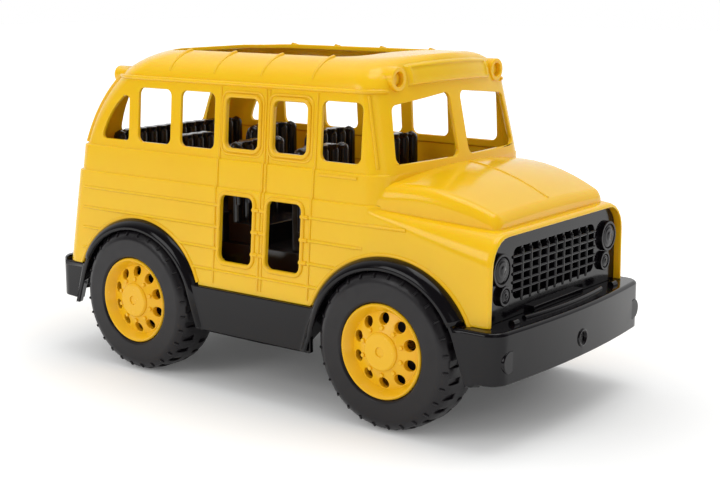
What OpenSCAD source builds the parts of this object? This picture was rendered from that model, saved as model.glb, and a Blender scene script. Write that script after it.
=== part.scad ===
// Toy bus: a yellow moulded body on a black chassis, four fat wheels on two steel axles.
// +X is the front, +Y the bus's left side, +Z up. The origin is on the ground under the middle.

/* [Overall] */
// Length over both bumpers
overall_l = 337; // [320:1:360]
// Distance between the axles
wheelbase = 187; // [183:1:192]
// Width over the tyres
track_w = 166; // [163:1:176]
// Height of the deck that the body sits on
deck_z = 60; // [59:0.5:61]

/* [Body shell] */
// Wall of the body
wall = 2.4; // [2:0.1:3]
// Width of the body at the deck
base_w = 156; // [153:1:157]
// Width of the body at the drip rail
rail_w = 133; // [128:1:140]
// Height of the drip rail
rail_z = 178; // [176:1:184]
// Height of the roof
roof_z = 192.7; // [190:0.1:200]
// How far the roof shoulders curve in
shoulder_in = 20; // [14:1:24]
// Rise of the roof's middle above its shoulders
roof_crown = 3; // [1:0.5:5]
// Radius of the roof's corners in plan
roof_corner_r = 26; // [20:1:32]
// Radius of the roof's rear corners in plan
tail_roof_r = 24; // [16:1:30]
// Length of the tail from its foot to the flat of the roof
tail_l = 68; // [62:1:76]
// How far the tail leans in from its foot to the belt's upper edge
tail_lean = 10.2; // [8:0.2:12]
// Radius of the tail's upright corners
tail_corner_r = 10; // [6:1:14]
// Lower edge of the belt band
belt_low_z = 118.6; // [116:0.2:121]
// Upper edge of the belt band
belt_top_z = 134.6; // [132:0.2:136]
// Step of the wall at each edge of the belt band
belt_step = 1.2; // [0.6:0.1:1.8]
// Diameter of the bead along the drip rail
rail_bead_d = 2.6; // [2:0.1:3.4]
// Ribs along each side under the belt
rib_count = 4; // [2:1:4]
// Height of the uppermost rib
rib_top_z = 108.5; // [106:0.5:112]
// Distance from rib to rib
rib_pitch = 12.6; // [10:0.2:13]
// Diameter of a rib
rib_d = 1.6; // [1:0.1:2.2]
// Length of the roof opening
hatch_l = 148; // [130:1:150]
// Width of the roof opening
hatch_w = 92; // [80:1:96]
// Front edge of the roof opening
hatch_front_x = 48; // [44:1:52]

/* [Windows] */
// Height of the window sills
sill_z = 139.6; // [137:0.2:142]
// Height of a side window
window_h = 32.4; // [28:0.2:34]
// Width of a side window
window_w = 27.4; // [24:0.2:29]
// Radius of the window corners
window_r = 4; // [2:0.2:6]
// Distance from window to window
window_pitch = 35.6; // [34:0.1:37]
// Middle of the front side window
front_window_x = 57; // [55:0.5:58]
// Width of the glazed part of a door
door_window_w = 24.8; // [22:0.2:27]
// Border from a door's window to the window line
door_border = 1.8; // [1:0.1:3]
// Foot of the lower door windows
door_low_z = 76.5; // [74:0.5:80]
// Height of the lower door windows
door_low_h = 38.5; // [34:0.5:40]
// Foot of the windscreen
cowl_x = 92; // [90:0.5:94]
// Lean of the windscreen in degrees
screen_rake = 12; // [8:0.5:16]
// Bow of the windscreen in plan
screen_bow = 4; // [2:0.5:6]
// Radius of the front pillars
pillar_r = 13; // [10:1:16]
// Width of the bar between the windscreen panes
mullion_w = 10.4; // [8:0.2:14]
// Width of both windscreen panes with their bar, at the foot
screen_w = 118; // [110:1:122]
// Width of the rear window
rear_window_w = 78; // [60:1:90]

/* [Bonnet and wings] */
// Front face of the wings
nose_x = 154.5; // [152:0.5:157]
// Width of the wings at the front, on the deck
nose_w = 146; // [143:1:149]
// Height of the wings at the front
nose_top_z = 110.8; // [108:0.2:114]
// Radius of the mouth's outer corners
nose_corner_r = 17; // [13:0.5:20]
// Rounding of the wings' front edge
nose_round = 3; // [1:0.5:4]
// Front end of the bonnet
bonnet_front_x = 148.8; // [146:0.2:150]
// Height of the bonnet's rear end
bonnet_rear_z = 136.4; // [134:0.2:138]
// Height of the bonnet's front edge
bonnet_front_z = 118.6; // [116:0.2:121]
// Bulge of the bonnet along its length
bonnet_bulge = 3.6; // [1:0.2:5]
// Width of the bonnet at the windscreen
bonnet_rear_w = 136; // [130:1:138]
// Width of the bonnet at its front edge
bonnet_front_w = 115; // [108:1:120]

/* [Chassis] */
// Thickness of the chassis walls
chassis_wall = 3; // [2.4:0.1:3.6]
// Lower edge of the skirts and mudguards
skirt_z = 34; // [30:0.5:38]
// Width over the mudguards
guard_w = 162; // [160:0.5:166]
// Running gap between tyre and mudguard
guard_gap = 5.5; // [4.6:0.1:6.5]
// Width of the mudguards below the deck
guard_lip = 6; // [4:0.5:10]
// Gap between the mudguard and the body's wheel arch
arch_gap = 1.2; // [0.8:0.1:2]
// Flare of the arch legs in degrees
arch_flare = 18; // [12:1:24]
// Top of the front bumper
bumper_top_z = 64; // [62:0.5:67]
// Lower edge of the bumpers
bumper_low_z = 36.5; // [34:0.5:40]
// Top of the tail bumper
tail_bumper_top_z = 62; // [61:0.5:65]
// How far the tail bumper stands out behind the body
bumper_out = 8.5; // [6:0.5:11]
// Bow of the front bumper in plan
bumper_bow = 4; // [2:0.5:6]
// Radius of the bumper corners
bumper_r = 10; // [7:0.5:13]
// Diameter of the tow eye's hole
tow_d = 6; // [4:0.2:7]

/* [Wheels] */
// Diameter of a tyre
tyre_d = 88; // [85:0.5:90]
// Width of a tyre
tyre_w = 31; // [28:0.5:34]
// Diameter of the rim's lip
rim_d = 52; // [48:0.5:56]
// Shoulder lugs round a tyre
lug_count = 28; // [20:1:36]
// Depth of the grooves between the lugs
lug_depth = 1.6; // [1:0.1:3]
// Depth of the rim's dish
dish_depth = 5.5; // [4.5:0.5:8]
// Diameter of the raised hub disc
hub_d = 21; // [18:0.5:22]
// Holes in a rim
rim_holes = 10; // [6:1:12]
// Diameter of a rim hole
rim_hole_d = 6.2; // [4.6:0.2:6.6]
// Diameter of an axle
axle_d = 4; // [3:0.1:5]

/* [Seats] */
// Height of the seat backs
seat_top_z = 142.8; // [140:0.2:147]
// Floor between the axles
floor_z = 84; // [80:0.5:88]
// Distance from seat row to seat row
seat_pitch = 49.5; // [48:0.5:51]
// Front face of the first seat row's back
seat_front_x = 20; // [18:0.5:22]
// Width of a double seat
seat_w = 46; // [42:0.5:48]
// Aisle between the seats
aisle_w = 24; // [20:0.5:28]
// Thickness of a seat back
seat_back_t = 7; // [6:0.2:9]
// Depth of a seat cushion
cushion_l = 19; // [16:0.5:22]
// Height of a seat cushion
cushion_h = 13; // [10:0.5:16]
// Flutes on a seat back
flutes = 5; // [4:1:6]

/* [Grille] */
// How far the grille sits back in the mouth
grille_recess = 4; // [2:0.2:6]
// Thickness of the grille panel
grille_t = 3.4; // [2.8:0.1:4]
// Width of the bar field
bars_w = 88; // [76:1:90]
// Height of the bar field
bars_h = 27; // [22:0.5:29]
// Foot of the bar field above the shelf
bars_up = 9.5; // [8:0.5:10]
// Upright bars
bars_up_count = 9; // [5:1:11]
// Level bars
bars_level_count = 5; // [3:1:6]
// Thickness of a bar
bar_t = 2; // [1.4:0.1:2.6]
// Diameter of the large lamps
lamp_d = 17.4; // [15:0.2:19]
// Diameter of the small lamps
small_lamp_d = 11; // [9:0.2:12]

/* [Screws] */
// Diameter of the self-tapping screws
screw_d = 3; // [2.5:0.1:3.5]
// Diameter of the screw heads
screw_head_d = 5.6; // [5:0.1:6.4]
// Length of the screws under the head
screw_l = 12; // [10:0.5:14]
// Diameter of the screw posts
post_d = 7.4; // [6.6:0.2:8.4]

/* [Hidden] */
$fn = 64;

// Cuts run past what they cut by this much
overrun = 1;
// Clearance between parts that only pass each other
loose = 0.3;
// Running clearance of the axles, on the radius
running = 0.06;
// Clearance of a screw in its pilot hole and of a tyre on its rim, on the radius
snug = 0.04;
// Segments of a small corner, of the roof shoulder, of the tail and of a wheel arch
corner_n = 6;
shoulder_n = 8;
tail_n = 8;
arch_n = 36;
bow_n = 8;
// Columns of a ring's row: height, half width, rear end, front end, rear radius, front radius
Z = 0;
HALF = 1;
REAR = 2;
FRONT = 3;
REAR_R = 4;
FRONT_R = 5;

axle_z = tyre_d / 2;
front_x = wheelbase / 2;
rear_x = -wheelbase / 2;
tail_x = -overall_l / 2 + bumper_out;
bumper_x = overall_l / 2;
wall_lean = (base_w / 2 - 2 * belt_step - rail_w / 2) / (rail_z - deck_z);
roof_rear_x = tail_x + tail_l;
// The tail is an arc from a little under the belt's upper edge to the roof
tail_arc_drop = 9;
tail_arc_z = belt_top_z - tail_arc_drop;
tail_arc_r = roof_z - tail_arc_z;
tail_arc_l = (tail_l - tail_lean) / sqrt(1 - pow(tail_arc_drop / tail_arc_r, 2));
window_top_z = sill_z + window_h;
header_z = rail_z;
visor_round = 5;
shell_r = tyre_d / 2 + guard_gap + chassis_wall;
arch_r = shell_r + arch_gap;
shelf_z = bumper_top_z;
shelf_rear_x = front_x + shell_r - 4 * chassis_wall;
inner_face_y = track_w / 2 - tyre_w;
// Gap between a tyre's inner face and the wall beside it
well_gap = 2;
well_face_y = inner_face_y - well_gap;
well_inner_y = well_face_y - chassis_wall;

function lerp(a, b, t) = a + (b - a) * t;
function clamped(t) = min(1, max(0, t));
function mirrored(pts) = [for (i = [len(pts) - 1 : -1 : 0]) [-pts[i][0], pts[i][1]]];
function unit(v) = v / norm(v);

// Outline with every corner rounded; the points run counter-clockwise
function rounded(pts, r) = [
  for (i = [0 : len(pts) - 1])
    let (
      v = pts[i],
      u1 = unit(pts[(i + len(pts) - 1) % len(pts)] - v),
      u2 = unit(pts[(i + 1) % len(pts)] - v),
      half = acos(u1 * u2) / 2,
      middle = v + unit(u1 + u2) * r / sin(half),
      start = v + u1 * r / tan(half) - middle,
      a = atan2(start[1], start[0])
    )
    for (k = [0 : corner_n])
      let (b = a + (180 - 2 * half) * k / corner_n)
      middle + r * [cos(b), sin(b)]
];
function box_outline(x0, z0, x1, z1) = [[x0, z0], [x1, z0], [x1, z1], [x0, z1]];

// Solid through a list of rings of points, each ring counter-clockwise about the way it travels
module loft(rings) {
  n = len(rings[0]);
  m = len(rings);
  polyhedron(
    points = [for (r = rings) each r],
    faces = concat(
      [[for (i = [0 : n - 1]) i]],
      [
        for (k = [0 : m - 2])
          for (i = [0 : n - 1])
            let (a = k * n + i, b = k * n + (i + 1) % n)
            each [[a, a + n, b + n], [a, b + n, b]]
      ],
      [[for (i = [n - 1 : -1 : 0]) (m - 1) * n + i]]
    )
  );
}

module along_y(y0, y1) {
  translate([0, y1, 0]) rotate([90, 0, 0]) linear_extrude(y1 - y0) children();
}

module along_x(x0, x1) {
  translate([x0, 0, 0]) rotate([90, 0, 90]) linear_extrude(x1 - x0) children();
}

module both_sides() {
  children();
  mirror([0, 1, 0]) children();
}

// Plan outline with a bowed front and four round corners
function plan_ring(row, bow) =
  let (
    w = row[HALF],
    rr = row[REAR_R],
    rf = row[FRONT_R],
    flank_x = row[FRONT] - bow - rf,
    tail_flank_x = row[REAR] + rr
  )
  concat(
    [
      for (i = [0 : bow_n])
        let (s = 2 * i / bow_n - 1)
        [row[FRONT] - bow * s * s, s * (w - rf)]
    ],
    [for (i = [1 : corner_n]) let (a = 90 * i / corner_n) [flank_x + rf * cos(a), w - rf + rf * sin(a)]],
    [
      for (i = [0 : corner_n])
        let (a = 90 + 90 * i / corner_n)
        [tail_flank_x + rr * cos(a), w - rr + rr * sin(a)]
    ],
    [
      for (i = [0 : corner_n])
        let (a = 180 + 90 * i / corner_n)
        [tail_flank_x + rr * cos(a), rr - w + rr * sin(a)]
    ],
    [
      for (i = [0 : corner_n - 1])
        let (a = 270 + 90 * i / corner_n)
        [flank_x + rf * cos(a), rf - w + rf * sin(a)]
    ]
  );
function lifted(outline, z, rise, half_w) =
  [for (p = outline) [p[0], p[1], z + rise * (1 - pow(p[1] / half_w, 2))]];

// Cabin: the wall stands proud below the belt band and again below its lower edge
function proud(z) = z <= belt_low_z ? 2 * belt_step : z <= belt_top_z ? belt_step : 0;
function cabin_half_w(z) = base_w / 2 - 2 * belt_step
  - (base_w / 2 - 2 * belt_step - rail_w / 2) * (z - deck_z) / (rail_z - deck_z) + proud(z);
function tail_arc_x(z, inset) = roof_rear_x
  - (tail_arc_l - inset) * sqrt(max(0, 1 - pow((z - tail_arc_z) / (tail_arc_r - inset), 2)));
function cabin_rear_x(z, inset) = z > belt_top_z
  ? tail_arc_x(z, inset)
  : lerp(tail_x + 2 * belt_step, tail_arc_x(belt_top_z, 0), (z - deck_z) / (belt_top_z - deck_z))
    - proud(z) + inset;
function cabin_front_x(z) = cowl_x
  - tan(screen_rake) * (min(header_z, max(bonnet_rear_z, z)) - bonnet_rear_z);
function tail_corner_at(z) =
  lerp(tail_corner_r, tail_roof_r, clamped((z - belt_top_z) / (rail_z - belt_top_z)));
cabin_levels = concat(
  [belt_low_z, belt_low_z + belt_step / 2, belt_top_z, belt_top_z + belt_step / 2],
  [for (i = [1 : tail_n]) lerp(belt_top_z, rail_z, i / tail_n)]
);
function cabin_wall_rows(foot_z, inset) = [
  for (z = concat([foot_z], cabin_levels))
    [
      z, cabin_half_w(z) - inset, cabin_rear_x(z, inset), cabin_front_x(z) - inset,
      tail_corner_at(z) - inset, pillar_r - inset
    ]
];
function cabin_roof_rows(inset) = [
  for (i = [1 : shoulder_n])
    let (
      s = i / shoulder_n,
      z = rail_z + (roof_z - inset - rail_z) * sin(90 * s),
      turn = 1 - cos(90 * s)
    )
    [
      z, rail_w / 2 - inset - shoulder_in * turn, tail_arc_x(z, inset),
      cabin_front_x(z) - inset - visor_round * turn,
      tail_roof_r - inset, lerp(pillar_r, roof_corner_r, s) - inset
    ]
];
// The crowned top closes in on a narrow strip along the middle
crown_shares = [0.75, 0.5, 0.25, 0.05];
function cabin_crown_rows(inset) =
  let (rim = cabin_roof_rows(inset)[shoulder_n - 1])
  [
    for (share = crown_shares)
      [
        rim[Z], rim[HALF] * share, rim[REAR] + overrun * (1 - share), rim[FRONT] - overrun * (1 - share),
        rim[REAR_R] * share, rim[FRONT_R] * share
      ]
  ];
module cabin(foot_z, inset) {
  half_w = rail_w / 2 - inset;
  loft(concat(
    [for (row = cabin_wall_rows(foot_z, inset)) lifted(plan_ring(row, screen_bow), row[Z], 0, half_w)],
    [
      for (i = [1 : shoulder_n])
        let (row = cabin_roof_rows(inset)[i - 1])
        lifted(plan_ring(row, screen_bow), row[Z], roof_crown * i / shoulder_n, half_w)
    ],
    [
      for (row = cabin_crown_rows(inset))
        lifted(plan_ring(row, screen_bow), row[Z], roof_crown, half_w)
    ]
  ));
}

// Wings: the wall under the belt carried forward to the mouth of the nose
wing_rear_x = cowl_x - pillar_r - 2 * nose_round;
wing_margin = 0.3;
nose_lean_share = 0.35;
wing_stations_n = 8;
function wing_share(x) = clamped((x - wing_rear_x) / (nose_x - wing_rear_x));
function wing_top(x) = lerp(belt_low_z - wing_margin, nose_top_z, wing_share(x));
function wing_ring(x, inset, foot_z) =
  let (
    s = wing_share(x),
    r = max(lerp(2 * belt_step, nose_corner_r, s) - inset, belt_step),
    w = lerp(base_w / 2 - wing_margin, nose_w / 2, s) - inset,
    top = wing_top(x) - inset,
    lean = lerp(wall_lean, nose_lean_share * wall_lean, s),
    top_w = w - lean * (top - r - deck_z),
    half = concat(
      [[w - lean * (foot_z - deck_z), foot_z]],
      [
        for (i = [0 : corner_n])
          let (a = 90 * i / corner_n)
          [top_w - r + r * cos(a), top - r + r * sin(a)]
      ]
    )
  )
  [for (p = concat(half, mirrored(half))) [x, p[0], p[1]]];
function wing_body_stations(front) =
  [for (i = [0 : wing_stations_n]) lerp(wing_rear_x, front, i / wing_stations_n)];
module wings_outer() {
  loft(concat(
    [for (x = wing_body_stations(nose_x - nose_round)) wing_ring(x, 0, deck_z)],
    [
      for (i = [1 : corner_n])
        let (a = 90 * i / corner_n)
        wing_ring(nose_x - nose_round * (1 - sin(a)), nose_round * (1 - cos(a)) / 2, deck_z)
    ]
  ));
}
module wings_inner() {
  loft([for (x = wing_body_stations(nose_x + overrun)) wing_ring(x, wall, deck_z - overrun)]);
}

// Bonnet: a crowned lid that narrows and falls towards the front
bonnet_rear_x = cowl_x - pillar_r;
bonnet_crown_rear = 5;
bonnet_crown_front = 1.2;
bonnet_edge_rear = 9;
bonnet_edge_front = 6;
bonnet_nose_r = 4;
bonnet_stations_n = 9;
function bonnet_share(x) = (x - cowl_x) / (bonnet_front_x - cowl_x);
function bonnet_top(x) =
  let (s = bonnet_share(x))
  lerp(bonnet_rear_z, bonnet_front_z, s) + 4 * bonnet_bulge * s * (1 - s);
function bonnet_ring(x, inset, foot_z) =
  let (
    s = bonnet_share(x),
    w = lerp(bonnet_rear_w, bonnet_front_w, s) / 2 - inset,
    r = lerp(bonnet_edge_rear, bonnet_edge_front, s) - inset / 2,
    crown = lerp(bonnet_crown_rear, bonnet_crown_front, s),
    top = bonnet_top(x) - inset,
    half = concat(
      [[w, foot_z]],
      [
        for (i = [0 : corner_n])
          let (a = 90 * i / corner_n)
          [w - r + r * cos(a), top - crown - r + r * sin(a)]
      ],
      [
        for (i = [1 : bow_n / 2])
          let (y = (w - r) * (1 - 2 * i / bow_n))
          [y, top - crown * pow(y / (w - r), 2)]
      ]
    )
  )
  [for (p = concat(half, [for (i = [len(half) - 2 : -1 : 0]) [-half[i][0], half[i][1]]])) [x, p[0], p[1]]];
function bonnet_stations(front) =
  [for (i = [0 : bonnet_stations_n]) lerp(bonnet_rear_x, front, i / bonnet_stations_n)];
bonnet_foot_z = nose_top_z - nose_corner_r / 2;
module bonnet_outer() {
  loft(concat(
    [for (x = bonnet_stations(bonnet_front_x - bonnet_nose_r)) bonnet_ring(x, 0, bonnet_foot_z)],
    [
      for (i = [1 : corner_n])
        let (a = 90 * i / corner_n)
        bonnet_ring(bonnet_front_x - bonnet_nose_r * (1 - sin(a)), bonnet_nose_r * (1 - cos(a)), bonnet_foot_z)
    ]
  ));
}
module bonnet_inner() {
  loft([
    for (x = bonnet_stations(bonnet_front_x - bonnet_nose_r - wall))
      bonnet_ring(x, wall, bonnet_foot_z - nose_corner_r)
  ]);
}

// Arch over a wheel: a round crown on two legs that flare to the skirt
arch_rise_share = 0.935;
function arch_outline(x, r, low_z) =
  let (
    drop = (r * arch_rise_share * sin(arch_flare) - (low_z - axle_z)) / cos(arch_flare),
    leg = r * cos(arch_flare) + drop * sin(arch_flare)
  )
  concat(
    [[x - leg, low_z], [x + leg, low_z]],
    [
      for (i = [0 : arch_n])
        let (a = lerp(arch_flare, 180 - arch_flare, i / arch_n))
        [x + r * cos(a), axle_z + r * arch_rise_share * sin(a)]
    ]
  );

// Window openings, cut from outside the wall to well inside it
window_in_y = rail_w / 2 - shoulder_in;
function window_x(i) = front_window_x - i * window_pitch;
door_places = [1, 2];
side_windows = [0, 1, 2, 3, 4];
plain_right_windows = [0, 3, 4];
quarter_reach = 24.4;
quarter_r = 50.4;
quarter_top_l = 5;
quarter_corner_r = 2.4;
quarter_front_x = window_x(4) - window_w / 2 - (window_pitch - window_w);
quarter_mid_x = quarter_front_x + quarter_reach;
quarter_n = 5;
quarter_low_a = asin((sill_z - tail_arc_z) / quarter_r);
quarter_top_a = acos((quarter_reach + quarter_top_l) / quarter_r);
quarter_outline = concat(
  [[quarter_front_x, sill_z], [quarter_front_x, tail_arc_z + quarter_r * sin(quarter_top_a)]],
  [
    for (i = [quarter_n : -1 : 0])
      let (a = lerp(quarter_low_a, quarter_top_a, i / quarter_n))
      [quarter_mid_x - quarter_r * cos(a), tail_arc_z + quarter_r * sin(a)]
  ]
);
screen_top_rise = 3;
screen_top_drop = 4.8;
screen_narrowing = 4;
pane_outline = [
  [mullion_w / 2, sill_z],
  [screen_w / 2, sill_z],
  [screen_w / 2 - screen_narrowing, window_top_z + screen_top_rise - screen_top_drop],
  [mullion_w / 2, window_top_z + screen_top_rise]
];
module side_window(x, w, z0, z1) {
  along_y(window_in_y, base_w / 2 + overrun)
    polygon(rounded(box_outline(x - w / 2, z0, x + w / 2, z1), window_r));
}
module right_window(x, w, z0, z1) {
  mirror([0, 1, 0]) side_window(x, w, z0, z1);
}
module quarter_window() {
  along_y(window_in_y, base_w / 2 + overrun) polygon(rounded(quarter_outline, quarter_corner_r));
}
module windows() {
  for (i = side_windows) side_window(window_x(i), window_w, sill_z, window_top_z);
  for (i = plain_right_windows) right_window(window_x(i), window_w, sill_z, window_top_z);
  for (i = door_places) {
    right_window(window_x(i), door_window_w, sill_z + door_border, window_top_z - door_border);
    right_window(window_x(i), door_window_w, door_low_z, door_low_z + door_low_h);
  }
  both_sides() quarter_window();
  both_sides()
    along_x(cowl_x - 2 * pillar_r, cowl_x + pillar_r) polygon(rounded(pane_outline, window_r));
  along_x(tail_x, roof_rear_x - window_h)
    polygon(rounded(box_outline(-rear_window_w / 2, sill_z, rear_window_w / 2, window_top_z - window_r), window_r));
}
module roof_hatch() {
  hatch_r = roof_corner_r - shoulder_in / 2;
  translate([0, 0, rail_z])
    linear_extrude(roof_z + roof_crown - rail_z + overrun)
      polygon(rounded(
        box_outline(hatch_front_x - hatch_l, -hatch_w / 2, hatch_front_x, hatch_w / 2), hatch_r
      ));
}

// Marker lamps: short tubes at the four corners of the roof
marker_d = 13;
marker_hole_d = 8;
marker_y = 49;
marker_z = 184;
marker_front_x = cabin_front_x(header_z) - screen_bow / 2;
marker_rear_z = 177.5;
marker_rear_out = 5.5;
marker_rear_d = 11;
marker_rear_x = tail_arc_x(marker_rear_z, 0) - marker_rear_out;
marker_l = 22;
marker_hole_l = 4;
module marker_tubes() {
  both_sides() {
    translate([marker_front_x - marker_l, marker_y, marker_z])
      rotate([0, 90, 0]) cylinder(d = marker_d, h = marker_l);
    translate([marker_rear_x, marker_y, marker_rear_z])
      rotate([0, 90, 0]) cylinder(d = marker_rear_d, h = marker_l);
  }
}
module marker_holes() {
  both_sides() {
    translate([marker_front_x - marker_hole_l, marker_y, marker_z])
      rotate([0, 90, 0]) cylinder(d = marker_hole_d, h = marker_hole_l + overrun);
    translate([marker_rear_x - overrun, marker_y, marker_rear_z])
      rotate([0, 90, 0]) cylinder(d = marker_hole_d, h = marker_hole_l + overrun);
  }
}

// Screw posts of the body: two at the tail and four along the sides
side_post_x = 35;
side_post_y = base_w / 2 - wall - 3 * belt_step - post_d / 2;
tail_post_x = tail_x + wall + 2 * belt_step + post_d / 2;
tail_post_y = 50;
post_web_t = 2;
body_post_h = screw_l + chassis_wall;
body_posts = [
  [side_post_x, side_post_y], [-side_post_x, side_post_y], [tail_post_x, tail_post_y],
  [side_post_x, -side_post_y], [-side_post_x, -side_post_y], [tail_post_x, -tail_post_y]
];
pilot_d = screw_d + 2 * snug;
module post(x, y, foot_z, h) {
  translate([x, y, foot_z]) cylinder(d = post_d, h = h);
}
module pilot(x, y, foot_z) {
  translate([x, y, foot_z - overrun]) cylinder(d = pilot_d, h = screw_l + overrun);
}
tail_web_x = cabin_rear_x(deck_z + body_post_h, wall / 4);
module body_post_webs() {
  both_sides() {
    for (x = [-side_post_x, side_post_x])
      translate([x - post_web_t / 2, side_post_y, deck_z])
        cube([post_web_t, cabin_half_w(deck_z + body_post_h) - wall / 2 - side_post_y, body_post_h]);
    translate([tail_web_x, tail_post_y - post_web_t / 2, deck_z])
      cube([tail_post_x - tail_web_x, post_web_t, body_post_h]);
  }
}

// Beads along the sides: the drip rail, and four ribs under the belt
rail_rear_x = tail_arc_x(rail_z, 0) + tail_roof_r;
rail_front_x = cabin_front_x(rail_z) - screen_bow - pillar_r;
rib_rear_x = cabin_rear_x(belt_low_z, 0) + tail_corner_r;
rib_front_x = wing_rear_x;
module side_bead(x0, x1, half_w, z, d) {
  both_sides() translate([x0, half_w, z]) rotate([0, 90, 0]) cylinder(d = d, h = x1 - x0);
}
module side_beads() {
  side_bead(rail_rear_x, rail_front_x, rail_w / 2, rail_z, rail_bead_d);
  for (i = [0 : rib_count - 1])
    let (z = rib_top_z - i * rib_pitch)
    side_bead(rib_rear_x, rib_front_x, cabin_half_w(z), z, rib_d);
}

module body_shell() {
  color("gold")
  difference() {
    union() {
      difference() {
        union() {
          cabin(deck_z, 0);
          wings_outer();
          bonnet_outer();
          marker_tubes();
          side_beads();
        }
        cabin(deck_z - overrun, wall);
        wings_inner();
        bonnet_inner();
        windows();
        roof_hatch();
        marker_holes();
        for (x = [rear_x, front_x])
          along_y(-base_w, base_w) polygon(arch_outline(x, arch_r, deck_z - overrun));
        translate([shelf_rear_x, -base_w / 2, deck_z - overrun])
          cube([nose_x - shelf_rear_x + overrun, base_w, shelf_z - deck_z + overrun]);
      }
      for (p = body_posts) post(p[0], p[1], deck_z, body_post_h);
      body_post_webs();
    }
    for (p = body_posts) pilot(p[0], p[1], deck_z);
  }
}

// Chassis: deck, wheel housings that end in the mudguards, skirts and bumpers
skirt_in = 1;
skirt_w = guard_w - 2 * skirt_in;
boss_d = 3 * axle_d + 2 * chassis_wall;
boss_in = 10;
boss_out = inner_face_y - well_face_y - loose;
clear_d = screw_d + 2 * loose;
front_row = [0, skirt_w / 2, shelf_rear_x, bumper_x, chassis_wall, bumper_r];
rear_row = [0, skirt_w / 2 - chassis_wall, -bumper_x, rear_x - shell_r + 2 * chassis_wall, bumper_r, chassis_wall];
function inset_row(row, t) = [
  row[Z], row[HALF] - t, row[REAR] + t, row[FRONT] - t, max(row[REAR_R] - t, overrun), max(row[FRONT_R] - t, overrun)
];
module bumper(row, bow, low_z, top_z) {
  translate([0, 0, low_z]) linear_extrude(top_z - low_z) polygon(plan_ring(row, bow));
}
module wheel_housing(x) {
  both_sides() {
    difference() {
      along_y(well_inner_y, guard_w / 2) polygon(arch_outline(x, shell_r, skirt_z));
      along_y(well_face_y, guard_w / 2 + overrun)
        polygon(arch_outline(x, shell_r - chassis_wall, skirt_z - overrun));
      translate([x - 2 * shell_r, well_face_y, skirt_z - overrun])
        cube([4 * shell_r, guard_w / 2 - guard_lip - well_face_y, deck_z - 3 * chassis_wall - skirt_z + overrun]);
    }
    translate([x, well_inner_y - boss_in, axle_z])
      rotate([-90, 0, 0]) cylinder(d = boss_d, h = boss_in + chassis_wall + boss_out);
  }
}
module skirts() {
  both_sides()
    translate([rear_x + shell_r - chassis_wall, skirt_w / 2 - chassis_wall, skirt_z])
      cube([wheelbase - 2 * shell_r + 2 * chassis_wall, chassis_wall, deck_z - skirt_z]);
}
module deck() {
  deck_front_x = shelf_rear_x + chassis_wall;
  translate([tail_x, -skirt_w / 2 + chassis_wall / 2, deck_z - chassis_wall])
    cube([deck_front_x - tail_x, skirt_w - chassis_wall, chassis_wall]);
}
module front_bumper() {
  difference() {
    bumper(front_row, bumper_bow, bumper_low_z, shelf_z);
    bumper(inset_row(front_row, chassis_wall), bumper_bow, bumper_low_z - overrun, shelf_z - chassis_wall);
  }
}
module rear_bumper() {
  difference() {
    bumper(rear_row, 0, bumper_low_z, tail_bumper_top_z);
    bumper(inset_row(rear_row, chassis_wall), 0, bumper_low_z - overrun, deck_z - chassis_wall);
    translate([tail_x - loose, -base_w, deck_z])
      cube([overall_l / 2, 2 * base_w, bumper_top_z]);
  }
}
tow_z = 46.6;
// Round lamp discs on the front bumper
marker_disc_d = 12;
marker_disc_out = 0.3;
marker_disc_y = 69;
marker_disc_z = 48;
marker_disc_x = bumper_x - bumper_bow * pow(marker_disc_y / (skirt_w / 2 - bumper_r), 2);
module marker_discs() {
  both_sides()
    translate([marker_disc_x - chassis_wall / 2, marker_disc_y, marker_disc_z])
      rotate([0, 90, 0]) cylinder(d = marker_disc_d, h = chassis_wall / 2 + marker_disc_out);
}
module tow_hole() {
  translate([bumper_x - 2 * chassis_wall, 0, tow_z])
    rotate([0, 90, 0]) cylinder(d = tow_d, h = 3 * chassis_wall);
}
tray_post_x = 28;
tray_post_y = 40;
tray_posts = [
  [tray_post_x, tray_post_y], [-tray_post_x, tray_post_y],
  [tray_post_x, -tray_post_y], [-tray_post_x, -tray_post_y]
];
grille_x = nose_x - grille_recess;
grille_post_in = 13;
grille_post_y = well_inner_y - grille_post_in;
grille_post_x = grille_x - grille_t - loose - post_d / 2;
grille_posts = [[grille_post_x, grille_post_y], [grille_post_x, -grille_post_y]];
module chassis() {
  color("#1c1a1e")
  difference() {
    union() {
      difference() {
        union() {
          deck();
          front_bumper();
          rear_bumper();
        }
        for (x = [rear_x, front_x])
          both_sides()
            along_y(well_face_y, guard_w) polygon(arch_outline(x, shell_r - chassis_wall, skirt_z - overrun));
      }
      skirts();
      for (x = [rear_x, front_x]) wheel_housing(x);
      marker_discs();
    }
    tow_hole();
    for (x = [rear_x, front_x])
      translate([x, -track_w / 2, axle_z])
        rotate([-90, 0, 0]) cylinder(d = axle_d + 2 * running, h = track_w);
    for (p = concat(body_posts, tray_posts))
      translate([p[0], p[1], deck_z - 2 * chassis_wall]) cylinder(d = clear_d, h = 3 * chassis_wall);
    for (p = grille_posts)
      translate([p[0], p[1], shelf_z - 2 * chassis_wall]) cylinder(d = clear_d, h = 3 * chassis_wall);
  }
}

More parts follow.
